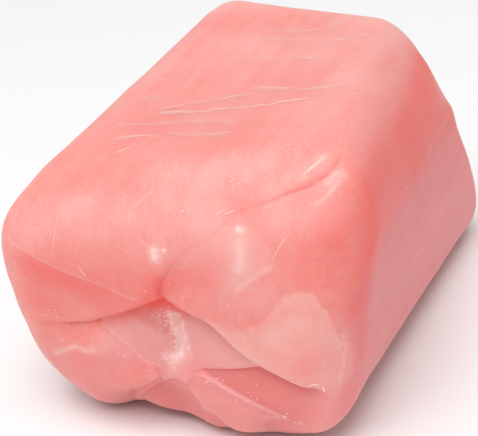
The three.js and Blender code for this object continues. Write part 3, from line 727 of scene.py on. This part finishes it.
def candyMaterial(paleWax):
    material, tree, shader = newMaterial("candy")
    coords = millimetres(tree)
    mottle = noiseOf(tree, coords, 0.3, 4, 0.6)
    fineGrain = noiseOf(tree, coords, 2.6, 3)
    sugar = noiseOf(tree, coords, 11, 2, 0.6)
    streaks = noiseOf(tree, millimetres(tree, (1.3, 0.1, 1.3)), 1, 4, 0.6)
    brushed = noiseOf(tree, millimetres(tree, (1.6, 0.12, 2.8)), 1, 4, 0.6)
    wisps = noiseOf(tree, millimetres(tree, (4.5, 1.2, 1.6)), 1, 4, 0.7)
    below = attribute(tree, "rubbedAndSheen")

    pale = attribute(tree, "haze")
    noises = {"mottled": mottle, "streaked": streaks, "grained": fineGrain, "sugared": sugar}
    for name, noisy in noises.items():
        pale = sway(tree, pale, noisy, candy[name])
    pale = sums(tree, "MULTIPLY_ADD", ease(tree, wisps, 0.56, 0.8), candy["wispy"], pale)
    pale = sums(tree, "ADD", pale, candy["paler"])
    colour = blend(tree, pale, candy["coral"], candy["pale"])
    # Painted shade: a duller rose towards the foot and under the dull dabs.
    up = put(tree, "ShaderNodeSeparateXYZ", {0: coords}).outputs[2]
    low = ease(tree, up, *candy["footShadeUpTo"], (candy["footShadeShare"], 0))
    colour = blend(tree, sums(tree, "MAXIMUM", low, attribute(tree, "dull")), colour, candy["rose"])
    # Painted shade on the layers tucked under others.
    for name, tint, share in candy["tucked"]:
        colour = blend(tree, sums(tree, "MULTIPLY", attribute(tree, name), share), colour, tint)
    # Painted shade: where the chew hides its own sky, and under the shade dabs, the colour turns a deeper
    # red.
    shaded = sums(tree, "MULTIPLY", sums(tree, "SUBTRACT", 1, attribute(tree, "sky")), candy["shaded"])
    paintedShade = sway(tree, sums(tree, "MAXIMUM", attribute(tree, "paintedShade"), shaded), mottle, 0.3)
    colour = blend(tree, ease(tree, paintedShade, 0, 1), colour, candy["deep"])
    # Painted sheen: below the seam the side turns a duller mauve, broken along its brushed streaks.
    rubbedAndSheen = sums(tree, "MULTIPLY", below, ease(tree, brushed, 0.35, 0.7, (0.65, 0.95)))
    colour = blend(tree, rubbedAndSheen, colour, candy["sheenMauve"])
    waxMask = patchMask(tree, coords)
    waxy = put(tree, "ShaderNodeGroup", node_tree=paleWax)
    colour = blend(tree, waxMask, colour, waxy.outputs["Colour"])
    crumbly = ease(tree, noiseOf(tree, coords, 5, 3, 0.6), 0.3, 0.7, (0.5, 1.2))
    frost = sums(tree, "MULTIPLY", attribute(tree, "frost"), crumbly)
    colour = blend(tree, frost, colour, candy["frost"])
    tree.links.new(colour, shader.inputs["Base Color"])

    rough = sums(tree, "MULTIPLY_ADD", mottle, 0.2, 0.4)
    rough = sums(tree, "MULTIPLY_ADD", waxMask, 0.15, rough)
    tree.links.new(rough, shader.inputs["Roughness"])
    height = sums(tree, "MULTIPLY", fineGrain, 0.5)
    rubbedStreaks = sums(tree, "MULTIPLY", brushed, below)
    for pattern, share in ((waxMask, 0.5), (rubbedStreaks, 0.6), (streaks, 0.5), (sugar, 0.3), (frost, 0.6)):
        height = sums(tree, "MULTIPLY_ADD", pattern, share, height)
    bump = put(tree, "ShaderNodeBump", {"Strength": 0.6, "Distance": candy["bumpHigh"], "Height": height})
    tree.links.new(bump.outputs[0], shader.inputs["Normal"])
    strays = sums(tree, "MULTIPLY_ADD", frost, -candy["frostStops"], candy["strayShare"])
    tree.links.new(strays, shader.inputs["Subsurface Weight"])
    shader.inputs["Subsurface Radius"].default_value = candy["stray"]
    shader.inputs["Subsurface Scale"].default_value = candy["scatter"]
    shader.inputs["Specular IOR Level"].default_value = candy["specular"]
    shader.inputs["Sheen Weight"].default_value = candy["sheen"]
    shader.inputs["Sheen Roughness"].default_value = candy["sheenRough"]
    return material


scratches = {
    # face, line, half width, how pale; each is broken into dashes
    "lines": [
        ("top", [(-4.5, -0.6), (-2.9, -0.1)], 0.022, 0.5),
        ("top", [(-4.2, -2.2), (-3.2, -2.3)], 0.026, 0.6),
        ("top", [(-5.4, -2.7), (-3, -2.6)], 0.024, 0.5),
        ("top", [(-2.8, -3.5), (-1, -2.8), (0.6, -2.2)], 0.026, 0.6),
        ("top", [(-2.8, -3.9), (1.1, -3.6), (3.7, -2.8)], 0.034, 0.8),
        ("top", [(-4.1, -5), (-1.5, -4.9), (1.5, -5.1)], 0.026, 0.6),
        ("top", [(-3.5, -6.2), (-1, -6.1), (1.5, -6.4)], 0.03, 0.8),
        ("top", [(-1.2, 5.6), (1.7, 6.1), (3.1, 8.2)], 0.024, 0.6),
        ("top", [(-0.9, 4.6), (2.7, 4.6), (4.6, 6)], 0.026, 0.7),
        ("top", [(-1.9, 1.9), (0.5, 2.1), (2.9, 2.3)], 0.026, 0.7),
        ("top", [(-0.3, -2.3), (1, -2.1)], 0.024, 0.6),
        ("top", [(0.7, -1.3), (3.2, -1.7), (5.1, -1.1)], 0.028, 0.8),
        ("top", [(-2.7, -7.6), (-2.3, -7.1)], 0.03, 0.7),
        ("top", [(5.2, -9.9), (5.7, -9)], 0.04, 0.4),
        ("end", [(-4.04, 11.9), (-4.16, 10.85), (-4.23, 10.1), (-4.34, 9.3)], 0.022, 0.45),
        ("end", [(-0.4, 12.9), (-0.8, 12.3), (-1.1, 11.8), (-1.17, 10.7)], 0.022, 0.45),
        ("end", [(-0.9, 10), (-0.3, 9.5)], 0.018, 0.25),
        ("end", [(-3.31, 8.83), (-3.2, 8.49), (-2.95, 8.2)], 0.022, 0.8),
        ("end", [(-4.17, 10.46), (-3.98, 10.05)], 0.018, 0.6),
        ("end", [(6, 3.4), (6.4, 3.5), (6.8, 3.35), (7, 3.05)], 0.04, 0.8),
        ("end", [(4.35, 8.75), (4.7, 9.5), (5.1, 10)], 0.018, 0.35),
        ("end", [(0.7, 11.1), (0.95, 11.4)], 0.03, 0.5), ("end", [(0.95, 11.2), (1.15, 11.5)], 0.026, 0.4),
        ("end", [(2.1, 10.9), (2.5, 11.25)], 0.034, 0.5),
        ("end", [(2.35, 10.85), (2.85, 11.1)], 0.03, 0.45),
        ("side", [(4.4, 7.6), (2.2, 7.65)], 0.016, 0.2), ("side", [(-0.1, 7.7), (-2.4, 7.9)], 0.016, 0.2),
        ("side", [(7.6, 7.45), (5, 7.6)], 0.016, 0.15),
    ],
    # how far aside each line runs again, and how much fainter and more broken it is there
    "strands": {"top": (0, 0.09, -0.13), "side": (0,), "end": (0,)}, "asideFaint": 0.8, "asideGap": 6,
    "dash": (0.4, 2), "gap": (-0.1, 0.16), "shortest": 0.1, "uneven": (0.7, 1.2), "thinned": (0.5, 1),
    "wander": 0.05, "high": 0.12, "around": 6, "perMm": 7,
}
grains = {
    # face, centre, spread, how many, radius
    "clusters": [
        ("end", (-0.4, 5.8), (0.28, 0.36), 70, 0.024),
        ("end", (0, 5.4), (0.12, 0.45), 30, 0.026),
        ("end", (0.1, 4.6), (0.16, 0.4), 24, 0.026),
        ("end", (-0.1, 4.1), (0.2, 0.2), 8, 0.035),
        ("end", (-1.2, 4.2), (0.6, 0.35), 12, 0.028),
        ("end", (-5.2, 6.1), (0.3, 0.15), 5, 0.03),
        ("end", (-5.3, 4.8), (0.5, 0.08), 6, 0.026),
        ("end", (1.9, 3.35), (0.25, 0.06), 16, 0.026),
        ("end", (3.35, 2.65), (0.25, 0.08), 8, 0.024),
        ("end", (4.9, 1.72), (0.25, 0.08), 12, 0.028),
        ("end", (5.6, 1.25), (0.25, 0.1), 8, 0.03),
        ("end", (0.6, 7.1), (0.8, 0.2), 8, 0.03),
        ("end", (0.2, 9.4), (0.05, 0.05), 4, 0.04),
        ("end", (4, 5), (2.4, 1.6), 12, 0.024),
        ("end", (-1, 9), (5, 3), 30, 0.02),
        ("end", (1, 3), (4, 2), 26, 0.022),
        ("top", (0.3, -9.5), (0.7, 0.4), 14, 0.024),
        ("top", (2.4, -10), (0.3, 0.15), 8, 0.03),
        ("top", (4.6, -8), (0.9, 0.2), 7, 0.028),
        ("top", (5.6, -2.4), (0.4, 0.5), 6, 0.028),
        ("top", (0.5, -1), (5, 8), 70, 0.02),
        ("side", (0, 8), (8, 3), 40, 0.018),
    ],
    "highest": 0.025, "sizes": (0.55, 1.25), "slim": (0.7, 1), "paleness": (0.4, 1),
}
pores = {
    # face, centre, radius
    "spots": [
        ("end", (0.06, 4.98), 0.13), ("end", (0.05, 4.66), 0.09), ("end", (-0.02, 4.42), 0.075),
        ("end", (-0.07, 5.22), 0.06),
        ("side", (-2.5, 8.8), 0.03), ("side", (-5.5, 5.4), 0.03), ("side", (-7.1, 3.6), 0.025),
        ("side", (2.2, 7.2), 0.03), ("side", (4.8, 4.6), 0.025), ("top", (1.6, -6.9), 0.025),
    ],
    "dark": (0.76, 0.25, 0.24, 1), "light": (0.82, 0.3, 0.28, 1),
}


# Points of the finished skin in mm, and its normals, over places of the plain block.
def onSkin(face, pairs, facing):
    places = []
    normals = []
    for p in blockPoints(facePlaces(face, pairs, facing)):
        found, _, index, _ = skin["tree"].find_nearest(p)
        corners = skin["faces"][index]
        shares = np.array(poly_3d_calc([skin["plain"][c] for c in corners], found))
        places.append(shares @ skin["moved"][corners])
        normals.append(shares @ skin["normals"][corners])
    normals = np.array(normals)
    return np.array(places), normals / np.linalg.norm(normals, axis=1, keepdims=True)


def finishBits(bm, name, material):
    bmesh.ops.recalc_face_normals(bm, faces=bm.faces)
    mesh = bpy.data.meshes.new(name)
    bm.to_mesh(mesh)
    bm.free()
    mesh.shade_smooth()
    mesh.materials.append(material)
    piece = bpy.data.objects.new(name, mesh)
    bpy.context.scene.collection.objects.link(piece)
    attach(piece, "root")
    print(name + ":", len(mesh.polygons), "faces")
    return piece


def makeScratches(material):
    s = scratches
    chance = np.random.default_rng(7)
    bm = bmesh.new()
    pale = bm.verts.layers.float.new("paleness")
    for face, line, halfWidth, paleness in s["lines"]:
        for facing in shownFaces(face):
            line = np.array(line, float)
            length = np.linalg.norm(np.diff(line, axis=0), axis=1).sum()
            for aside in s["strands"][face]:
                faint, gaps = (s["asideFaint"], s["asideGap"]) if aside else (1, 1)
                at = chance.uniform(0, s["shortest"])
                while at < length:
                    end = min(at + chance.uniform(*s["dash"]), length)
                    if end - at > s["shortest"]:
                        strength = paleness * chance.uniform(*s["uneven"]) * faint
                        thin = halfWidth * chance.uniform(*s["thinned"])
                        part = (at / length, end / length)
                        addDash(bm, pale, face, facing, line + aside, part, thin, strength)
                    at = end + chance.uniform(*s["gap"]) * gaps
    return finishBits(bm, "waxScratches", material)


# A thin closed sliver along part of the line, tapered to both ends and half sunk into the skin.
def addDash(bm, pale, face, facing, line, part, halfWidth, strength):
    s = scratches
    rows = 5 + int(s["perMm"] * np.linalg.norm(np.diff(line, axis=0), axis=1).sum() * (part[1] - part[0]))
    share = np.linspace(part[0], part[1], rows + 1)
    pairs = throughPoints(line, 101)[np.clip((share * 100).round().astype(int), 0, 100)]
    drift = [s["wander"] * noise((p[0] * 2.1, p[1] * 2.1, facing)) for p in pairs]
    pairs = pairs + np.array(drift)[:, None]
    places, normals = onSkin(face, pairs, facing)
    aside = np.cross(np.gradient(places, axis=0), normals)
    aside /= np.maximum(np.linalg.norm(aside, axis=1, keepdims=True), 1e-9)
    made = bmesh.ops.create_grid(bm, x_segments=rows, y_segments=s["around"], size=1)["verts"]
    for v in made:
        i = round((v.co.x + 1) / 2 * rows)
        turn = math.tau * (v.co.y + 1) / 2
        wide = halfWidth * max(math.sin(math.pi * i / rows), 0) ** 0.6
        at = places[i] + wide * math.cos(turn) * aside[i] + wide * s["high"] * math.sin(turn) * normals[i]
        v.co = toModel(at)
        v[pale] = strength
    bmesh.ops.remove_doubles(bm, verts=made, dist=1e-7)


# A flattened round bit's own shape and place on the skin.
def bitMatrix(place, normal, sizes):
    turn = Vector(normal).to_track_quat("Z", "Y").to_matrix().to_4x4()
    return Matrix.Translation(toModel(place)) @ turn @ Matrix.Diagonal([size * mm for size in sizes] + [1])


def makeGrains(material):
    g = grains
    chance = np.random.default_rng(11)
    bm = bmesh.new()
    pale = bm.verts.layers.float.new("paleness")
    for face, centre, spread, count, radius in g["clusters"]:
        for facing in shownFaces(face):
            pairs = np.array(centre) + chance.normal(size=(count, 2)) * spread
            places, normals = onSkin(face, pairs, facing)
            for place, normal in zip(places, normals):
                size = radius * chance.uniform(*g["sizes"])
                slim = size * chance.uniform(*g["slim"])
                matrix = bitMatrix(place, normal, (size, slim, min(0.6 * size, g["highest"])))
                made = bmesh.ops.create_uvsphere(bm, u_segments=7, v_segments=5, radius=1, matrix=matrix)
                strength = chance.uniform(*g["paleness"])
                for v in made["verts"]:
                    v[pale] = strength
    return finishBits(bm, "waxGrains", material)


def makePores(material):
    bm = bmesh.new()
    for face, centre, radius in pores["spots"]:
        for facing in shownFaces(face):
            place, normal = (rows[0] for rows in onSkin(face, [centre], facing))
            matrix = bitMatrix(place, normal, (radius, 0.8 * radius, 0.25 * radius))
            bmesh.ops.create_icosphere(bm, subdivisions=3, radius=1, matrix=matrix)
    return finishBits(bm, "pores", material)


bits = {"faint": (1, 0.56, 0.51, 1), "bright": (1, 0.77, 0.71, 1), "bumpHigh": 0.00001}


# The wax of the scratches and the grains.
def waxMaterial(paleWax):
    material, tree, shader = newMaterial("waxBits")
    waxy = put(tree, "ShaderNodeGroup", node_tree=paleWax)
    grain = waxy.outputs["Grain"]
    faint = blend(tree, 0.6, waxy.outputs["Colour"], bits["faint"])
    colour = blend(tree, attribute(tree, "paleness"), faint, bits["bright"])
    tree.links.new(colour, shader.inputs["Base Color"])
    tree.links.new(sums(tree, "MULTIPLY_ADD", grain, 0.3, 0.35), shader.inputs["Roughness"])
    bump = put(tree, "ShaderNodeBump", {"Strength": 0.3, "Distance": bits["bumpHigh"], "Height": grain})
    tree.links.new(bump.outputs[0], shader.inputs["Normal"])
    return material


def poreMaterial():
    material, tree, shader = newMaterial("poreShade")
    cloudy = noiseOf(tree, millimetres(tree), 9, 3)
    colour = blend(tree, ease(tree, cloudy, 0.3, 0.7), pores["dark"], pores["light"])
    tree.links.new(colour, shader.inputs["Base Color"])
    tree.links.new(sums(tree, "MULTIPLY_ADD", cloudy, 0.2, 0.4), shader.inputs["Roughness"])
    return material


# In metres. The lamp is a square one that looks at the middle of the chew.
studio = {
    "floorHalf": 0.6, "floorShade": (0.9, 0.9, 0.9, 1), "floorRough": 0.8,
    "lampPlace": (0.01, -0.116, 0.307), "lampAim": (0, 0, 0.006), "lampWide": 0.26, "lampPower": 0.94,
    "skyPower": 0.46,
}


def makeFloor():
    bm = bmesh.new()
    bmesh.ops.create_grid(bm, x_segments=1, y_segments=1, size=studio["floorHalf"])
    mesh = bpy.data.meshes.new("floor")
    bm.to_mesh(mesh)
    bm.free()
    floor = bpy.data.objects.new("floor", mesh)
    bpy.context.scene.collection.objects.link(floor)
    material, _, shader = newMaterial("paleFloor")
    shader.inputs["Base Color"].default_value = studio["floorShade"]
    shader.inputs["Roughness"].default_value = studio["floorRough"]
    mesh.materials.append(material)


def makeLamp():
    data = bpy.data.lights.new("keyLight", "AREA")
    data.size = studio["lampWide"]
    data.energy = studio["lampPower"]
    lamp = bpy.data.objects.new("keyLight", data)
    lamp.location = studio["lampPlace"]
    lamp.rotation_mode = "QUATERNION"
    lamp.rotation_quaternion = (Vector(studio["lampAim"]) - lamp.location).to_track_quat("-Z", "Y")
    bpy.context.scene.collection.objects.link(lamp)


def makeWorld():
    world = bpy.data.worlds.new("studio")
    world.use_nodes = True
    world.node_tree.nodes["Background"].inputs[0].default_value = (1, 1, 1, 1)
    world.node_tree.nodes["Background"].inputs[1].default_value = studio["skyPower"]
    bpy.context.scene.world = world


camera = {
    "place": Vector((21.76, -48.97, 31.5)) * mm,
    "target": Vector((-2.15, 1.4, 4.15)) * mm,
    "roll": math.radians(-7.75),
    "lens": 1300 / 478 * 36,     # a focal length of 1300 pixels in a picture 478 pixels wide
}


def makeCamera():
    data = bpy.data.cameras.new("camera")
    data.sensor_width = 36
    data.lens = camera["lens"]
    data.clip_start = 0.005
    data.clip_end = 5
    eye = bpy.data.objects.new("camera", data)
    aim = (camera["target"] - camera["place"]).to_track_quat("-Z", "Y")
    eye.rotation_mode = "QUATERNION"
    eye.rotation_quaternion = aim @ Matrix.Rotation(camera["roll"], 4, "Z").to_quaternion()
    eye.location = camera["place"]
    bpy.context.scene.collection.objects.link(eye)
    bpy.context.scene.camera = eye


chew = makeChew()
paleWax = waxGroup()
chew.data.materials.append(candyMaterial(paleWax))
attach(chew, "root")
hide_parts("chew")
waxBits = waxMaterial(paleWax)
makeScratches(waxBits)
makeGrains(waxBits)
makePores(poreMaterial())
makeFloor()
makeLamp()
makeWorld()
makeCamera()
bpy.context.scene.view_settings.view_transform = "Standard"
print("stage set")
